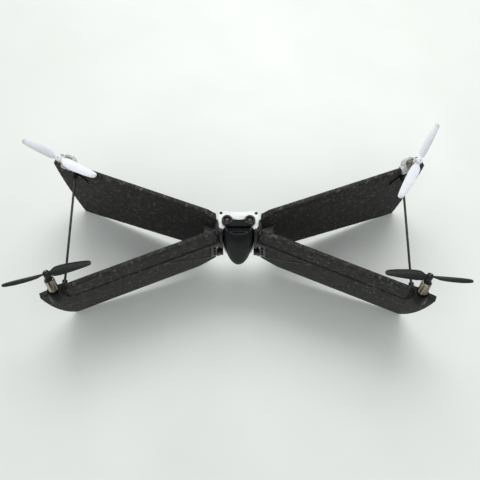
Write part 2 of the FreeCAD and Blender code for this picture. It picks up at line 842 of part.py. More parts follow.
def battery_cell():
    low = battery_top_z - battery_length
    body = battery_box(-battery_wall - 0.2, low + battery_wall + 0.2, battery_top_z - 3.2)
    return body


def main_board():
    y = board_y
    half = board_width / 2
    body = box(-half, half, y, y + board_thick, board_low_z, board_low_z + board_length)
    chips = [
        box(-6, 3, y + board_thick, y + board_thick + 1.2, 50, 58),
        box(-8, -3, y + board_thick, y + board_thick + 1.0, 38, 43),
        box(4, 8.5, y + board_thick, y + board_thick + 1.0, 48, 53),
    ]
    return solid_of(body.fuse(chips))


def battery_contacts():
    """Two sprung contacts between the board and the battery's foot."""
    low = battery_top_z - battery_length - 2.6
    solids = []
    for x in (-4.0, 4.0):
        solids.append(box(x - 1.0, x + 1.0, seam_y + 0.3, board_y, low, low + 1.6))
    return Part.makeCompound(solids)


def usb_socket():
    back = plate_front_y - shell_wall - usb_depth
    half = usb_width / 2
    z0 = usb_z - usb_height / 2
    z1 = usb_z + usb_height / 2
    body = box(-half, half, back, back + usb_depth, z0, z1)
    body = body.cut(box(-half + 0.4, half - 0.4, back + 0.6, 40, z0 + 0.4, z1 - 0.4))
    tongue = box(-half + 1.4, half - 1.4, back + 0.3, back + usb_depth - 0.8, usb_z - 0.3, usb_z + 0.3)
    stem = box(-half, half, board_y + board_thick, back + 0.6, z0, z0 + 1.2)
    return solid_of(body.fuse([tongue, stem]))


def belly_y(z):
    """Outer face of the belly shell at a height below the waist."""
    share = (z - tail_z) / (waist_z - tail_z)
    return tail_front_y + (plate_front_y - 0.8 - tail_front_y) * share


def power_button():
    face = belly_y(button_z) + button_proud
    foot = board_y + board_thick + switch_height + button_travel + snug
    body = rod(button_diameter / 2, V(0, foot, button_z), V(0, face, button_z))
    rim = [e for e in body.Edges if e.Closed and e.BoundBox.YMin > face - 0.01]
    return body.makeFillet(0.5, rim)


def button_switch():
    y = board_y + board_thick
    return box(-2.0, 2.0, y, y + switch_height, button_z - 2.0, button_z + 2.0)


def seat_x(y):
    """Where the wing lugs' seat plane lies at a distance from the XZ plane."""
    return lug_end / math.cos(turn) - abs(y) * math.tan(turn)


def side_frame(side):
    """Black upright that carries the rear wing of one side."""
    shell_x = plate_half + side_gap
    dorsal_x = dorsal_half + 2 * side_gap
    y_mid = seam_y - 0.2
    pts = [
        V(shell_x, frame_split_y, frame_low_z),
        V(seat_x(frame_split_y), frame_split_y, frame_low_z),
        V(seat_x(0), 0, frame_low_z),
        V(seat_x(frame_back_y), frame_back_y, frame_low_z),
        V(dorsal_x, frame_back_y, frame_low_z),
        V(dorsal_x, y_mid, frame_low_z),
        V(shell_x, y_mid, frame_low_z),
    ]
    body = Part.Face(polygon(pts)).extrude(V(0, 0, frame_high_z - frame_low_z))
    inner = shell_x - frame_thick
    window = box(inner - 5, 30, frame_back_y - 1, frame_back_y + 4.0, frame_low_z + 8, frame_low_z + 16)
    body = body.cut(window)
    if side < 0:
        body = body.mirror(V(0, 0, 0), V(1, 0, 0))
    return solid_of(body)


def front_frame(side):
    """White upright that carries the front wing of one side."""
    shell_x = plate_half + side_gap
    low_y = frame_split_y + frame_split_gap
    pts = [
        V(shell_x, low_y, frame_low_z),
        V(shell_x, frame_front_y, frame_low_z),
        V(seat_x(frame_front_y), frame_front_y, frame_low_z),
        V(seat_x(low_y), low_y, frame_low_z),
    ]
    body = Part.Face(polygon(pts)).extrude(V(0, 0, plate_low - 2.0 - frame_low_z))
    if side < 0:
        body = body.mirror(V(0, 0, 0), V(1, 0, 0))
    return solid_of(body)


def plate_screws():
    solids = []
    for x, y in screw_places():
        head = rod(screw_head / 2, V(x, y, plate_z - 1.0), V(x, y, plate_z - 0.1))
        shank = rod(screw_shank / 2, V(x, y, plate_low - screw_length + 1.5), V(x, y, plate_z - 1.0))
        slot = box(x - 0.2, x + 0.2, y - 0.9, y + 0.9, plate_z - 0.5, plate_z)
        solids.append(solid_of(head.fuse(shank).cut(slot)))
    return Part.makeCompound(solids)


def sonar_sensors():
    solids = []
    for x in (-sonar_x, sonar_x):
        low = V(x, sensor_y, tail_z - sonar_proud)
        body = rod(sonar_diameter / 2, low, low.add(V(0, 0, sonar_height)))
        mouth = V(x, sensor_y, tail_z - sonar_proud + sonar_dish)
        body = body.cut(rod(sonar_diameter / 2 - sonar_rim, V(x, sensor_y, 0), mouth))
        solids.append(solid_of(body))
    return Part.makeCompound(solids)


def floor_camera():
    body = rod(camera_diameter / 2, V(0, 7.0, tail_z - 0.4), V(0, 7.0, tail_z))
    return body


# ---- build ------------------------------------------------------------------

makers = {
    "foam_wing": foam_wing,
    "wing_bracket": wing_bracket,
    "motor_mount": motor_mount,
    "motor_wires": motor_wires,
}
for stem, maker in makers.items():
    shape = maker()
    for corner in CORNERS:
        save(stem + "_" + corner, to_corner(shape, corner))

motor_makers = {"motor_can": motor_can, "motor_cap": motor_cap, "motor_shaft": motor_shaft}
for stem, maker in motor_makers.items():
    shape = to_motor(maker())
    for corner in CORNERS:
        save(stem + "_" + corner, to_corner(shape, corner))

prop_shape = propeller()
for corner in CORNERS:
    turned = prop_shape.copy()
    turned.rotate(V(0, 0, 0), V(0, 0, 1), blade_rest[corner])
    save("propeller_" + corner, to_corner(to_motor(turned), corner))

for side, name in ((-1, "left"), (1, "right")):
    save("strut_" + name, strut(side))
    save("eye_lens_" + name, eye_lens(side))
    save("side_frame_" + name, side_frame(side))
    save("front_frame_" + name, front_frame(side))

save("strut_clips", strut_clips())
save("belly_shell", belly_shell())
save("face_plate", face_plate())
save("nose_cover", nose_cover())
save("dorsal_shell", dorsal_shell())
save("battery_case", battery_case())
save("battery_cell", battery_cell())
save("main_board", main_board())
save("battery_contacts", battery_contacts())
save("usb_socket", usb_socket())
save("power_button", power_button())
save("button_switch", button_switch())
save("plate_screws", plate_screws())
save("sonar_sensors", sonar_sensors())
save("floor_camera", floor_camera())
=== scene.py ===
"""A small tail-sitting drone with an X of foam wings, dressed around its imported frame.

All sizes are metres.  +Z is the flight axis, +X the span and +Y the belly side.
Every piece is placed from the frame: its boxes, its joints and its meshes.
"""

import json
import math

import bpy
import bmesh
import numpy as np
from mathutils import Matrix, Vector


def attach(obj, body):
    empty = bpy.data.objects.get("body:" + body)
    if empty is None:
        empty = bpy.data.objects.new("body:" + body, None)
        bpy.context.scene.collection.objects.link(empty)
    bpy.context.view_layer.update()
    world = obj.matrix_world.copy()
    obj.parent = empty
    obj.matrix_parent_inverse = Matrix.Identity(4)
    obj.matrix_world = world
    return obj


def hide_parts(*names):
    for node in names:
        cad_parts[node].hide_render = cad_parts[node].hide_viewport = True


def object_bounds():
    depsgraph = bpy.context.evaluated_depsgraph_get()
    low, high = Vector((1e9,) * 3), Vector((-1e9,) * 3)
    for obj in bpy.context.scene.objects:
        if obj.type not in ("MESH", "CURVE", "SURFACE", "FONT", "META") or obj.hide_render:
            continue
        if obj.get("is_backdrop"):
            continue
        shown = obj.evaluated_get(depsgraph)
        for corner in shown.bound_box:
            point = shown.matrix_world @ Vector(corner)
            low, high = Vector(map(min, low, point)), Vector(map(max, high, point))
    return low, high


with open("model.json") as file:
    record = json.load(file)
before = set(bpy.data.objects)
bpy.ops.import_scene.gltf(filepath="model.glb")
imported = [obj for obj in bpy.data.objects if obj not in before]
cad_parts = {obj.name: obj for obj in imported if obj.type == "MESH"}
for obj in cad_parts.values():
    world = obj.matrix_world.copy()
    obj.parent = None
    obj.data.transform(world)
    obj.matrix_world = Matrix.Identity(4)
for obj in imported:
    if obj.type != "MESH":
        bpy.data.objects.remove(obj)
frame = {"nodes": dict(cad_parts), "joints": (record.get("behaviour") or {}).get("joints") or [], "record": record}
cad_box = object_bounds()

MM = 0.001
CORNERS = ("front_right", "front_left", "rear_right", "rear_left")
WING_ANGLE = math.radians(21.2)      # each wing plane from the XZ plane
FOAM_VOXEL = 0.42 * MM
FOAM_BEAD = 2.3 * MM
FOAM_PIT = 0.07 * MM                 # depth of the dents between beads
FOAM_EASE = 4                        # smoothing passes over the remeshed edges

# softened copies of CAD pieces; angles in degrees
WELD_GAP = 2e-7                      # corners closer than this are one
FLAT_ANGLE = 0.6                     # faces flatter than this are merged
EDGE_ANGLE = 32.0                    # edges sharper than this are rounded
EDGE_SEGMENTS = 2
CREASE_ANGLE = 38.0                  # edges sharper than this stay crisp
MOULD_GRAIN = 5200                   # noise scale of moulded plastic's grain

# camera: where the eye stands, and how it is turned, in degrees
CAMERA_PLACE = (0.0010, -0.2645, 0.6854)
CAMERA_ELEVATION = 67.41
CAMERA_HEADING = 0.08
CAMERA_ROLL = 0.49
CAMERA_LENS = 58.5                   # on a 36 mm wide sensor
SENSOR = 36.0


# ---- mesh helpers --------------------------------------------------------

def mesh_object(name, verts, faces):
    """A smooth-shaded mesh in the scene."""
    mesh = bpy.data.meshes.new(name)
    mesh.from_pydata([tuple(v) for v in verts], [], [tuple(f) for f in faces])
    mesh.validate()
    mesh.update()
    mesh.polygons.foreach_set("use_smooth", [True] * len(mesh.polygons))
    obj = bpy.data.objects.new(name, mesh)
    bpy.context.scene.collection.objects.link(obj)
    return obj


def welded(node, name):
    """A fresh copy of a CAD node's mesh with its split corners joined."""
    source = frame["nodes"][node].data
    count = len(source.vertices)
    co = np.zeros(count * 3)
    source.vertices.foreach_get("co", co)
    co = co.reshape(-1, 3)
    keys = np.round(co / WELD_GAP).astype(np.int64)
    _, first, inverse = np.unique(keys, axis=0, return_index=True, return_inverse=True)
    inverse = inverse.reshape(-1)
    faces = []
    for poly in source.polygons:
        ring = [int(inverse[i]) for i in poly.vertices]
        if len(set(ring)) == len(ring):
            faces.append(ring)
    return mesh_object(name, co[first], faces)


def apply_modifiers(obj):
    """Bake an object's modifiers into its mesh."""
    bpy.context.view_layer.update()
    graph = bpy.context.evaluated_depsgraph_get()
    mesh = bpy.data.meshes.new_from_object(obj.evaluated_get(graph))
    obj.modifiers.clear()
    old = obj.data
    obj.data = mesh
    bpy.data.meshes.remove(old)


def shade_by_angle(obj, degrees):
    """Smooth shading, with edges sharper than an angle kept crisp."""
    bm = bmesh.new()
    bm.from_mesh(obj.data)
    limit = math.radians(degrees)
    for edge in bm.edges:
        edge.smooth = len(edge.link_faces) == 2 and edge.calc_face_angle(0.0) < limit
    for face in bm.faces:
        face.smooth = True
    bm.to_mesh(obj.data)
    bm.free()


def soften(obj, width):
    """Merge flat triangles, round the edges a little, and shade smooth."""
    bm = bmesh.new()
    bm.from_mesh(obj.data)
    bmesh.ops.dissolve_limit(
        bm, angle_limit=math.radians(FLAT_ANGLE), verts=bm.verts[:], edges=bm.edges[:])
    bm.to_mesh(obj.data)
    bm.free()
    bevel = obj.modifiers.new("edge", "BEVEL")
    bevel.width = width
    bevel.segments = EDGE_SEGMENTS
    bevel.limit_method = "ANGLE"
    bevel.angle_limit = math.radians(EDGE_ANGLE)
    apply_modifiers(obj)
    shade_by_angle(obj, CREASE_ANGLE)


def lathe(profile, turns=48):
    """Points and faces of a closed turned form from (radius, height) pairs."""
    verts = []
    faces = []
    count = len(profile)
    for index in range(turns):
        angle = 2 * math.pi * index / turns
        for radius, height in profile:
            verts.append((radius * math.cos(angle), radius * math.sin(angle), height))
    for index in range(turns):
        after = (index + 1) % turns
        for k in range(count - 1):
            faces.append((index * count + k, after * count + k,
                          after * count + k + 1, index * count + k + 1))
    low = len(verts)
    verts.append((0, 0, profile[0][1]))
    high = len(verts)
    verts.append((0, 0, profile[-1][1]))
    for index in range(turns):
        after = (index + 1) % turns
        faces.append((after * count, index * count, low))
        faces.append((index * count + count - 1, after * count + count - 1, high))
    return verts, faces


def body_of(node):
    for body, members in frame["record"]["behaviour"]["bodies"].items():
        if node in members:
            return body
    return "root"


def slot_of(node):
    for part in frame["record"]["subparts"]:
        if part["node"] == node:
            return part["material_slot"]
    return None


def stands_for(obj, node, material):
    """Give a finished piece its finish and its body, and hide the node it replaces."""
    obj.data.materials.clear()
    obj.data.materials.append(material)
    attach(obj, body_of(node))
    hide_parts(node)


# ---- materials -----------------------------------------------------------

class Shader:
    """A short way to write a node material."""

    def __init__(self, name):
        self.material = bpy.data.materials.new(name)
        self.material.use_nodes = True
        self.tree = self.material.node_tree
        self.surface = self.tree.nodes["Principled BSDF"]
        coords = self.tree.nodes.new("ShaderNodeTexCoord")
        self.place = coords.outputs["Object"]

    def node(self, kind, **values):
        made = self.tree.nodes.new(kind)
        for key, value in values.items():
            setattr(made, key, value)
        return made

    def link(self, source, target):
        self.tree.links.new(source, target)

    def set(self, **values):
        for key, value in values.items():
            self.surface.inputs[key.replace("_", " ")].default_value = value

    def scaled(self, vector, scale):
        mapping = self.node("ShaderNodeMapping")
        mapping.inputs["Scale"].default_value = scale
        self.link(vector, mapping.inputs["Vector"])
        return mapping.outputs["Vector"]

    def noise(self, scale, detail=4.0, rough=0.55, vector=None):
        made = self.node("ShaderNodeTexNoise")
        made.inputs["Scale"].default_value = scale
        made.inputs["Detail"].default_value = detail
        made.inputs["Roughness"].default_value = rough
        self.link(vector or self.place, made.inputs["Vector"])
        return made.outputs["Fac"]

    def cells(self, scale, feature="F1"):
        made = self.node("ShaderNodeTexVoronoi", feature=feature)
        made.inputs["Scale"].default_value = scale
        self.link(self.place, made.inputs["Vector"])
        return made

    def ramp(self, value, *stops):
        made = self.node("ShaderNodeValToRGB")
        ramp = made.color_ramp
        while len(ramp.elements) < len(stops):
            ramp.elements.new(0.5)
        for element, (place, color) in zip(ramp.elements, stops):
            element.position = place
            element.color = (*color, 1.0)
        self.link(value, made.inputs["Fac"])
        return made.outputs["Color"]

    def span(self, value, low, high, out_low, out_high):
        made = self.node("ShaderNodeMapRange")
        for key, number in (("From Min", low), ("From Max", high),
                            ("To Min", out_low), ("To Max", out_high)):
            made.inputs[key].default_value = number
        self.link(value, made.inputs["Value"])
        return made.outputs["Result"]

    def math(self, operation, a, b):
        made = self.node("ShaderNodeMath", operation=operation)
        for index, value in enumerate((a, b)):
            if isinstance(value, (int, float)):
                made.inputs[index].default_value = value
            else:
                self.link(value, made.inputs[index])
        return made.outputs["Value"]

    def mix(self, share, a, b):
        made = self.node("ShaderNodeMix", data_type="RGBA")
        sockets = {s.identifier: s for s in made.inputs}
        for key, value in (("Factor_Float", share), ("A_Color", a), ("B_Color", b)):
            socket = sockets[key]
            if isinstance(value, (int, float)):
                socket.default_value = value
            elif isinstance(value, tuple):
                socket.default_value = (*value, 1.0)
            else:
                self.link(value, socket)
        outs = {s.identifier: s for s in made.outputs}
        return outs["Result_Color"]

    def attribute(self, name):
        return self.node("ShaderNodeAttribute", attribute_name=name)

    def color(self, source):
        self.link(source, self.surface.inputs["Base Color"])

    def rough(self, source):
        self.link(source, self.surface.inputs["Roughness"])

    def bump(self, height, distance, strength):
        made = self.node("ShaderNodeBump")
        made.inputs["Distance"].default_value = distance
        made.inputs["Strength"].default_value = strength
        self.link(height, made.inputs["Height"])
        self.link(made.outputs["Normal"], self.surface.inputs["Normal"])


def bead_foam():
    """Charcoal moulded bead foam: packed beads, dark seams, pale skins."""
    s = Shader("bead_foam")
    warp = s.noise(260, 2.0)
    beads = s.cells(1 / FOAM_BEAD)
    seams = s.cells(1 / FOAM_BEAD, feature="DISTANCE_TO_EDGE")
    tone = s.span(beads.outputs["Color"], 0.0, 1.0, 0.0, 1.0)
    bead_color = s.ramp(tone, (0.0, (0.006, 0.006, 0.0065)), (0.45, (0.015, 0.0147, 0.0143)),
                        (0.75, (0.038, 0.0365, 0.034)), (1.0, (0.115, 0.108, 0.098)))
    seam_share = s.span(seams.outputs["Distance"], 0.0, 0.16, 1.0, 0.0)
    seam_share = s.math("MULTIPLY", seam_share, s.span(warp, 0.35, 0.7, 0.25, 1.0))
    base = s.mix(seam_share, bead_color, (0.009, 0.009, 0.0095))
    grain = s.noise(1500, 4.0, 0.72)
    skin = s.span(grain, 0.53, 0.72, 0.0, 0.75)
    base = s.mix(skin, base, (0.115, 0.108, 0.100))
    scuff = s.span(s.noise(55, 5.0, 0.62), 0.58, 0.80, 0.0, 0.3)
    base = s.mix(scuff, base, (0.070, 0.066, 0.061))
    s.color(base)
    s.rough(s.span(grain, 0.3, 0.75, 0.62, 0.84))
    s.set(Specular_IOR_Level=0.28)
    height = s.math("ADD", s.span(seams.outputs["Distance"], 0.0, 0.35, 0.0, 1.0),
                    s.math("MULTIPLY", grain, 0.35))
    s.bump(height, 0.00022, 0.75)
    return s.material


def moulded(name, dark, light, rough, depth=0.00003, dust=0.0, coat=0.0, shine=0.3):
    """Moulded plastic: fine grain, slow colour drift, dust in patches."""
    s = Shader(name)
    drift = s.noise(90, 3.0)
    base = s.ramp(drift, (0.3, dark), (0.75, light))
    if dust:
        specks = s.span(s.noise(1500, 4.0, 0.75), 0.62, 0.74, 0.0, dust)
        base = s.mix(specks, base, (0.30, 0.29, 0.27))
    s.color(base)
    fine = s.noise(MOULD_GRAIN, 2.0, 0.6)
    wipes = s.noise(240, 4.0, 0.6)
    s.rough(s.math("ADD", s.span(fine, 0.3, 0.7, rough - 0.05, rough + 0.05),
                   s.span(wipes, 0.35, 0.7, -0.05, 0.07)))
    s.set(Coat_Weight=coat, Specular_IOR_Level=shine)
    s.bump(fine, depth, 0.6)
    return s.material


def white_moulding():
    """White gloss plastic with faint handling marks."""
    s = Shader("white_moulding")
    drift = s.noise(60, 3.0)
    base = s.ramp(drift, (0.3, (0.74, 0.75, 0.74)), (0.7, (0.83, 0.84, 0.83)))
    grime = s.span(s.noise(420, 5.0, 0.7), 0.60, 0.80, 0.0, 0.22)
    base = s.mix(grime, base, (0.42, 0.41, 0.37))
    s.color(base)
    s.rough(s.span(s.noise(700, 3.0), 0.3, 0.7, 0.22, 0.36))
    s.set(Subsurface_Weight=0.06)
    s.bump(s.noise(1400, 2.0), 0.00002, 0.4)
    return s.material


def milky_moulding():
    """Frosted clear plastic, thin enough to let the floor through."""
    s = Shader("milky_moulding")
    cloud = s.noise(380, 4.0)
    s.color(s.ramp(cloud, (0.3, (0.80, 0.81, 0.80)), (0.7, (0.92, 0.93, 0.92))))
    s.rough(s.span(s.noise(900, 3.0), 0.3, 0.7, 0.12, 0.24))
    s.set(Transmission_Weight=0.55, IOR=1.46)
    s.bump(s.noise(1500, 2.0), 0.00002, 0.4)
    return s.material


def turned_steel():
    """Drawn motor can: warm plating with painted reflections in streaks along its length, and stains in patches.
    """
    s = Shader("turned_steel")
    local = s.attribute("local").outputs["Vector"]
    rings = s.noise(1.0, 3.0, 0.6, s.scaled(local, (260, 260, 9000)))
    # painted reflections: dark, bright and dark streaks along the can's axis stand in for the room mirrored in the
    # metal
    reflection_streaks = s.noise(1.0, 2.0, 0.5, s.scaled(local, (330, 330, 24)))
    stains = s.noise(330, 4.0, 0.6)
    # the plating colour carries the painted reflection streaks; real stains are mixed over it
    plating_with_painted_reflections = s.ramp(reflection_streaks, (0.36, (0.055, 0.045, 0.033)), (0.47, (0.30, 0.265, 0.20)),
                     (0.55, (0.56, 0.52, 0.44)), (0.64, (0.16, 0.135, 0.10)))
    s.color(s.mix(s.span(stains, 0.45, 0.75, 0.0, 0.4), plating_with_painted_reflections, (0.20, 0.175, 0.14)))
    s.set(Metallic=1.0)
    s.rough(s.span(rings, 0.3, 0.7, 0.16, 0.30))
    s.bump(rings, 0.00002, 0.35)
    return s.material


def plain_metal(name, base, rough):
    s = Shader(name)
    marks = s.noise(1900, 4.0, 0.7)
    s.color(s.ramp(marks, (0.3, tuple(c * 0.82 for c in base)), (0.7, base)))
    s.set(Metallic=1.0)
    s.rough(s.span(marks, 0.3, 0.7, rough - 0.06, rough + 0.08))
    s.bump(marks, 0.00002, 0.3)
    return s.material


def blade_plastic(name, base, worn, tip_color, rough, shine):
    """Thin blade moulding; the tips carry wear in ragged patches."""
    s = Shader(name)
    reach = s.attribute("reach").outputs["Fac"]
    drift = s.noise(300, 4.0, 0.6)
    body = s.ramp(drift, (0.3, worn), (0.7, base))
    ragged = s.math("ADD", reach, s.span(drift, 0.3, 0.7, -0.035, 0.035))
    tip = s.span(ragged, 0.88, 0.97, 0.0, 0.8)
    patch = s.math("MULTIPLY", tip, s.span(s.noise(700, 4.0, 0.7), 0.42, 0.60, 0.0, 1.0))
    s.color(s.mix(patch, body, tip_color))
    s.rough(s.span(s.noise(1600, 3.0), 0.3, 0.7, rough - 0.06, rough + 0.08))
    s.set(Specular_IOR_Level=shine)
    s.bump(s.noise(2600, 2.0), 0.000015, 0.4)
    return s.material


def carbon():
    """Pultruded rod: fine streaks along Y."""
    s = Shader("carbon_rod")
    streaks = s.noise(1.0, 3.0, 0.6, s.scaled(s.place, (9000, 160, 9000)))
    s.color(s.ramp(streaks, (0.3, (0.005, 0.005, 0.0055)), (0.7, (0.014, 0.014, 0.015))))
    s.rough(s.span(streaks, 0.3, 0.7, 0.24, 0.40))
    s.set(Specular_IOR_Level=0.35)
    s.bump(streaks, 0.00002, 0.5)
    return s.material


def clear_plastic():
    s = Shader("clear_plastic")
    haze = s.noise(700, 3.0)
    s.color(s.ramp(haze, (0.3, (0.030, 0.024, 0.018)), (0.7, (0.075, 0.063, 0.050))))
    s.rough(s.span(haze, 0.3, 0.7, 0.08, 0.16))
    s.set(Transmission_Weight=0.2, IOR=1.40)
    s.bump(haze, 0.00001, 0.2)
    return s.material


def circuit():
    s = Shader("circuit_board")
    traces = s.cells(900, feature="DISTANCE_TO_EDGE").outputs["Distance"]
    s.color(s.mix(s.span(traces, 0.02, 0.05, 1.0, 0.0), (0.012, 0.075, 0.035),
                  (0.03, 0.17, 0.08)))
    s.rough(s.span(s.noise(900, 3.0), 0.3, 0.7, 0.30, 0.45))
    s.bump(traces, 0.00003, 0.4)
    return s.material


FINISH = {
    "charcoal_foam": bead_foam(),
    "black_plastic": moulded("black_moulding", (0.003, 0.003, 0.0033), (0.006, 0.006, 0.0065),
                             0.32, dust=0.15, shine=0.17),
    "white_plastic": white_moulding(),
    "wire_sleeve": moulded("wire_sleeve", (0.003, 0.003, 0.003), (0.007, 0.007, 0.007), 0.5,
                           shine=0.15),
    "motor_steel": turned_steel(),
    "cap_plastic": moulded("cap_moulding", (0.008, 0.008, 0.0085), (0.014, 0.014, 0.015), 0.5),
    "shaft_steel": plain_metal("shaft_steel", (0.72, 0.72, 0.72), 0.2),
    "white_blade": blade_plastic("white_blade", (0.83, 0.84, 0.90), (0.75, 0.76, 0.82),
                                 (0.55, 0.26, 0.16), 0.34, 0.38),
    "black_blade": blade_plastic("black_blade", (0.009, 0.0095, 0.010), (0.005, 0.0055, 0.006),
                                 (0.03, 0.03, 0.03), 0.40, 0.25),
    "carbon_rod": carbon(),
    "clear_lens": clear_plastic(),
    "gloss_black": moulded("gloss_moulding", (0.004, 0.0055, 0.007), (0.008, 0.0105, 0.013),
                           0.24, depth=0.00001, coat=0.06, dust=0.2, shine=0.2),
    "matte_black": moulded("matte_moulding", (0.0055, 0.006, 0.006), (0.008, 0.0085, 0.009),
                           0.46, depth=0.00004, dust=0.08, shine=0.13),
    "battery_plastic": moulded("battery_moulding", (0.003, 0.004, 0.008), (0.005, 0.007, 0.013),
                               0.38, shine=0.2),
    "cell_foil": plain_metal("cell_foil", (0.6, 0.6, 0.62), 0.4),
    "circuit_board": circuit(),
    "contact_brass": plain_metal("contact_brass", (0.8, 0.62, 0.3), 0.3),
    "socket_steel": plain_metal("socket_steel", (0.6, 0.6, 0.6), 0.32),
    "button_rubber": moulded("button_rubber", (0.012, 0.012, 0.0125), (0.022, 0.022, 0.024), 0.6),
    "screw_steel": plain_metal("screw_steel", (0.03, 0.03, 0.032), 0.42),
    "sensor_aluminium": plain_metal("sensor_aluminium", (0.55, 0.55, 0.56), 0.36),
    "camera_lens": moulded("camera_window", (0.004, 0.004, 0.006), (0.007, 0.007, 0.010), 0.12,
                           coat=0.6),
}

BRACKET = moulded("bracket_moulding", (0.015, 0.015, 0.0145), (0.028, 0.0275, 0.026), 0.30,
                  dust=0.25, shine=0.32)
FRONT_MOUNT = milky_moulding()


def finish_of(node):
    """Frosted front mounts and greyer brackets; the rest follow their slot."""
    if node.startswith("motor_mount_front"):
        return FRONT_MOUNT
    if node.startswith("wing_bracket"):
        return BRACKET
    return FINISH[slot_of(node)]


def wing_turn(corner):
    """The turn that lays a corner's wing into the XZ plane."""
    side = 1 if corner.endswith("right") else -1
    face = 1 if corner.startswith("front") else -1
    return Matrix.Rotation(-side * face * WING_ANGLE, 4, "Z")


def foam_wing(corner):
    """The CAD wing, remeshed so that its edges round over like moulded foam."""
    node = "foam_wing_" + corner
    obj = welded(node, "wing_skin_" + corner)
    turn = wing_turn(corner)
    obj.data.transform(turn)
    remesh = obj.modifiers.new("foam", "REMESH")
    remesh.mode = "VOXEL"
    remesh.voxel_size = FOAM_VOXEL
    smooth = obj.modifiers.new("ease", "SMOOTH")
    smooth.factor = 0.5
    smooth.iterations = FOAM_EASE
    texture = bpy.data.textures.new("bead_" + corner, "VORONOI")
    texture.noise_scale = FOAM_BEAD * 1.1
    texture.noise_intensity = 1.0
    displace = obj.modifiers.new("beads", "DISPLACE")
    displace.texture = texture
    displace.strength = -FOAM_PIT
    displace.mid_level = 0.2
    apply_modifiers(obj)
    obj.data.transform(turn.inverted())
    shade_by_angle(obj, 50)
    stands_for(obj, node, FINISH["charcoal_foam"])


# ---- propellers and motors ---------------------------------------------------

def vertices_of(node):
    data = frame["nodes"][node].data
    co = np.zeros(len(data.vertices) * 3)
    data.vertices.foreach_get("co", co)
    return co.reshape(-1, 3)


def rotor_frame(corner):
    """Hub centre, turn into the rotor's own frame, and blade reach."""
    joint = next(j for j in frame["joints"] if j["name"] == "rotor_spin_" + corner)
    hub = np.array(joint["pos_m"])
    axis = np.array(joint["axis"])
    axis = axis / np.linalg.norm(axis)
    rel = vertices_of("propeller_" + corner) - hub
    flat = rel - np.outer(rel @ axis, axis)
    reach = np.linalg.norm(flat, axis=1)
    tip = flat[int(np.argmax(reach))]
    ahead = tip / np.linalg.norm(tip)
    aside = np.cross(axis, ahead)
    turn = Matrix((ahead, aside, axis)).transposed().to_4x4()
    return Matrix.Translation(Vector(hub)) @ turn, float(reach.max())


def store_vector(obj, name, points):
    layer = obj.data.attributes.new(name, "FLOAT_VECTOR", "POINT")
    layer.data.foreach_set("vector", np.array(points, dtype=float).reshape(-1))


def store_number(obj, name, values):
    layer = obj.data.attributes.new(name, "FLOAT", "POINT")
    layer.data.foreach_set("value", np.array(values, dtype=float))


BLADE_STATIONS = (   # share of reach, chord mm, twist degrees, thickness mm, sweep mm
    (0.045, 3.6, 30, 1.5, 0.0),
    (0.10, 4.4, 29, 1.4, 0.0),
    (0.15, 6.8, 27, 1.25, 0.25),
    (0.20, 8.2, 25, 1.15, 0.50),
    (0.32, 8.8, 23, 1.0, 0.60),
    (0.50, 8.5, 19, 0.9, 0.55),
    (0.72, 7.4, 14, 0.75, 0.35),
    (0.88, 5.9, 11.5, 0.62, 0.05),
    (0.96, 4.7, 11, 0.58, -0.20),
    (1.00, 3.9, 10, 0.5, -0.40),
)
TIP_ROUND = 0.05       # share of the reach over which the blade's end rounds off
TIP_CHORD = 0.06       # chord left at the very tip, as a share
TIP_THICK = 0.35       # thickness left where the chord has closed, as a share
TIP_THICK_LEAST = 0.1
ROW_CROWDING = 1.15    # rows of the mesh crowd towards the tip
UNDERSIDE = 0.45       # fullness of a section's lower side
CAMBER = 0.075         # as a share of the chord
BLADE_ROWS = 64
BLADE_AROUND = 28


def blade_shape(reach, hand, direction):
    """One lofted blade: airfoil rings along the reach, with a rounded tip."""
    rows = BLADE_ROWS
    around = BLADE_AROUND
    shares = np.array([s[0] for s in BLADE_STATIONS])
    columns = [np.array([s[k] for s in BLADE_STATIONS], float) for k in range(1, 5)]
    verts = []
    faces = []
    for row in range(rows):
        u = row / (rows - 1)
        share = shares[0] + (1 - shares[0]) * math.sin(u * math.pi / 2) ** ROW_CROWDING
        chord, twist, thick, sweep = (np.interp(share, shares, c) for c in columns)
        closing = math.sqrt(max(0.0, 1 - max(0.0, (share - 1 + TIP_ROUND) / TIP_ROUND) ** 2))
        chord *= max(closing, TIP_CHORD)
        thick *= TIP_THICK + (1 - TIP_THICK) * max(closing, TIP_THICK_LEAST)
        c = math.cos(math.radians(twist))
        s = math.sin(math.radians(twist))
        for k in range(around):
            turn = 2 * math.pi * k / around
            x = chord / 2 * math.cos(turn)
            fullness = 1.0 if math.sin(turn) > 0 else UNDERSIDE
            belly = CAMBER * chord * (1 - (2 * x / chord) ** 2)
            y = thick / 2 * math.sin(turn) * fullness + belly
            across = x * c - y * s + sweep
            height = x * s + y * c
            verts.append((direction * share * reach, direction * hand * across * MM, height * MM))
    for row in range(rows - 1):
        for k in range(around):
            after = (k + 1) % around
            ring = (row * around + k, row * around + after,
                    (row + 1) * around + after, (row + 1) * around + k)
            faces.append(ring if hand < 0 else ring[::-1])
    root = list(range(around))
    tip = [(rows - 1) * around + k for k in range(around)]
    faces.append(root if hand > 0 else root[::-1])
    faces.append(tip[::-1] if hand > 0 else tip)
    return verts, faces


HUB_PROFILE = (      # radius mm, height mm from the hub's centre
    (2.0, -6.85), (2.85, -6.85), (3.05, -6.65), (3.1, -6.2), (2.95, -4.9), (2.55, -3.6),
    (2.4, -2.9), (2.6, -2.55), (2.8, -2.2), (2.8, 1.5), (2.65, 2.05), (2.25, 2.4),
    (1.35, 2.5), (1.1, 2.3), (0.62, 2.25),
)


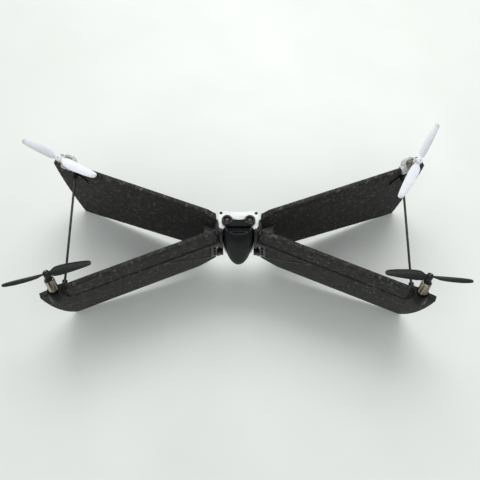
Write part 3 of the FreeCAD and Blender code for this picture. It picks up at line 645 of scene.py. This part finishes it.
def propeller(corner):
    """Two blades, one the other turned half round, on a turned hub."""
    node = "propeller_" + corner
    place, reach = rotor_frame(corner)
    hand = 1 if corner in ("front_right", "rear_left") else -1
    pieces = [blade_shape(reach, hand, 1), blade_shape(reach, hand, -1),
              lathe([(r * MM, h * MM) for r, h in HUB_PROFILE], 56)]
    verts = []
    faces = []
    for part_verts, part_faces in pieces:
        start = len(verts)
        verts.extend(part_verts)
        faces.extend([tuple(i + start for i in ring) for ring in part_faces])
    obj = mesh_object("blades_" + corner, verts, faces)
    bm = bmesh.new()
    bm.from_mesh(obj.data)
    bmesh.ops.recalc_face_normals(bm, faces=bm.faces[:])
    bm.to_mesh(obj.data)
    bm.free()
    local = np.array(verts)
    store_number(obj, "reach", np.linalg.norm(local[:, :2], axis=1) / reach)
    shade_by_angle(obj, 40)
    obj.data.transform(place)
    stands_for(obj, node, FINISH[slot_of(node)])


def motor_can(corner):
    """Turned can with a rolled rim, a stepped nose and a bearing bush."""
    node = "motor_can_" + corner
    place, _ = rotor_frame(corner)
    points = vertices_of(node)
    inverse = np.array(place.inverted())
    local = points @ inverse[:3, :3].T + inverse[:3, 3]
    low = local[:, 2].min()
    high = local[:, 2].max()
    radius = np.linalg.norm(local[:, :2], axis=1).max()
    top = high - 0.8 * MM
    profile = [
        (radius - 0.35 * MM, low), (radius - 0.05 * MM, low + 0.15 * MM), (radius, low + 0.4 * MM),
        (radius, low + 1.7 * MM), (radius - 0.12 * MM, low + 1.85 * MM),
        (radius - 0.12 * MM, low + 2.1 * MM), (radius, low + 2.25 * MM),
        (radius, top - 0.9 * MM), (radius - 0.08 * MM, top - 0.45 * MM),
        (radius - 0.3 * MM, top - 0.15 * MM), (radius - 0.7 * MM, top),
        (2.35 * MM, top), (2.2 * MM, top - 0.18 * MM), (1.75 * MM, top - 0.18 * MM),
        (1.6 * MM, top + 0.05 * MM), (1.5 * MM, top + 0.65 * MM), (1.35 * MM, high),
        (0.75 * MM, high), (0.56 * MM, high - 0.15 * MM),
    ]
    verts, faces = lathe(profile, 64)
    obj = mesh_object("can_" + corner, verts, faces)
    store_vector(obj, "local", verts)
    shade_by_angle(obj, 35)
    obj.data.transform(place)
    stands_for(obj, node, FINISH["motor_steel"])


# ---- everything else: softened copies of the CAD pieces ---------------------

SOFTEN = {   # width of the rounded edges, mm, by the start of the node's name
    "wing_bracket_": 0.16, "motor_mount_": 0.22, "side_frame_": 0.35, "front_frame_": 0.35,
    "strut_clips": 0.16, "belly_shell": 0.30, "face_plate": 0.30, "nose_cover": 0.35,
    "dorsal_shell": 0.30, "battery_case": 0.20, "usb_socket": 0.08, "power_button": 0.15,
    "plate_screws": 0.08, "sonar_sensors": 0.12, "main_board": 0.08, "strut_left": 0.15,
    "strut_right": 0.15, "floor_camera": 0.1,
}


def softened(node):
    """A copy of a CAD piece with rounded edges, in its finish."""
    width = next(v for k, v in SOFTEN.items() if node.startswith(k))
    obj = welded(node, node + "_finished")
    soften(obj, width * MM)
    stands_for(obj, node, finish_of(node))


for corner in CORNERS:
    foam_wing(corner)
    propeller(corner)
    motor_can(corner)

REBUILT = ("foam_wing_", "propeller_", "motor_can_")
for node in sorted(frame["nodes"]):
    if node.startswith(REBUILT):
        continue
    if any(node.startswith(k) for k in SOFTEN):
        softened(node)
    else:
        data = frame["nodes"][node].data
        data.materials.clear()
        data.materials.append(FINISH[slot_of(node)])


# ---- stage: floor, light and camera ------------------------------------------

FLOOR_HALF = 1.6
FLOOR_DROP = 0.2 * MM                # keeps the floor clear of the wings' feet
SKY_STRENGTH = 0.78


def floor():
    half = FLOOR_HALF
    corners = [(-half, -half, 0), (half, -half, 0), (half, half, 0), (-half, half, 0)]
    obj = mesh_object("floor", corners, [(0, 1, 2, 3)])
    obj.location.z = -FLOOR_DROP
    s = Shader("pale_floor")
    s.color(s.ramp(s.noise(6, 3.0), (0.3, (0.70, 0.72, 0.70)), (0.7, (0.76, 0.775, 0.76))))
    s.rough(s.span(s.noise(14, 3.0), 0.3, 0.7, 0.30, 0.40))
    obj.data.materials.append(s.material)
    obj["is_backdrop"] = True


def area_light(name, place, aim, size, power, tint):
    light = bpy.data.lights.new(name, "AREA")
    light.shape = "RECTANGLE"
    light.size = size[0]
    light.size_y = size[1]
    light.energy = power
    light.color = tint
    obj = bpy.data.objects.new(name, light)
    obj.location = place
    obj.rotation_euler = (Vector(aim) - Vector(place)).to_track_quat("-Z", "Y").to_euler()
    bpy.context.scene.collection.objects.link(obj)


def world_light():
    """A sky that is white overhead and grey at the horizon."""
    world = bpy.data.worlds.new("soft_room")
    bpy.context.scene.world = world
    world.use_nodes = True
    background = world.node_tree.nodes["Background"]
    background.inputs["Strength"].default_value = SKY_STRENGTH
    tree = world.node_tree
    coords = tree.nodes.new("ShaderNodeTexCoord")
    split = tree.nodes.new("ShaderNodeSeparateXYZ")
    ramp = tree.nodes.new("ShaderNodeValToRGB")
    ramp.color_ramp.elements[0].position = 0.02
    ramp.color_ramp.elements[0].color = (0.20, 0.205, 0.20, 1.0)
    ramp.color_ramp.elements[1].position = 0.55
    ramp.color_ramp.elements[1].color = (0.97, 1.0, 0.985, 1.0)
    tree.links.new(coords.outputs["Generated"], split.inputs["Vector"])
    tree.links.new(split.outputs["Z"], ramp.inputs["Fac"])
    tree.links.new(ramp.outputs["Color"], background.inputs["Color"])


def camera():
    data = bpy.data.cameras.new("camera")
    data.lens = CAMERA_LENS
    data.sensor_width = SENSOR
    obj = bpy.data.objects.new("camera", data)
    e = math.radians(CAMERA_ELEVATION)
    h = math.radians(CAMERA_HEADING)
    ahead = Vector((math.sin(h) * math.cos(e), math.cos(h) * math.cos(e), -math.sin(e)))
    right = Vector((math.cos(h), -math.sin(h), 0))
    up = right.cross(ahead)
    roll = Matrix.Rotation(math.radians(-CAMERA_ROLL), 3, ahead)
    right = roll @ right
    up = roll @ up
    turn = Matrix((right, up, -ahead)).transposed().to_4x4()
    obj.matrix_world = Matrix.Translation(Vector(CAMERA_PLACE)) @ turn
    bpy.context.scene.collection.objects.link(obj)
    bpy.context.scene.camera = obj


floor()
world_light()
area_light("overhead", place=(0.1, 0.95, 1.35), aim=(0, 0.15, 0), size=(1.3, 0.9), power=14.0,
           tint=(1.0, 0.995, 0.98))
area_light("fill", place=(-0.5, -1.1, 1.0), aim=(0, 0, 0.05), size=(1.0, 1.0), power=2.0,
           tint=(0.99, 0.995, 1.0))
bpy.context.scene.view_settings.view_transform = "Standard"
camera()

now_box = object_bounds()


def plain(value):
    if isinstance(value, (list, tuple)) or hasattr(value, "to_tuple"):
        return [plain(v) for v in value]
    if hasattr(value, "tolist"):
        return value.tolist()
    return float(value)


{"cad_box": plain(cad_box), "visual_box": plain(now_box)}
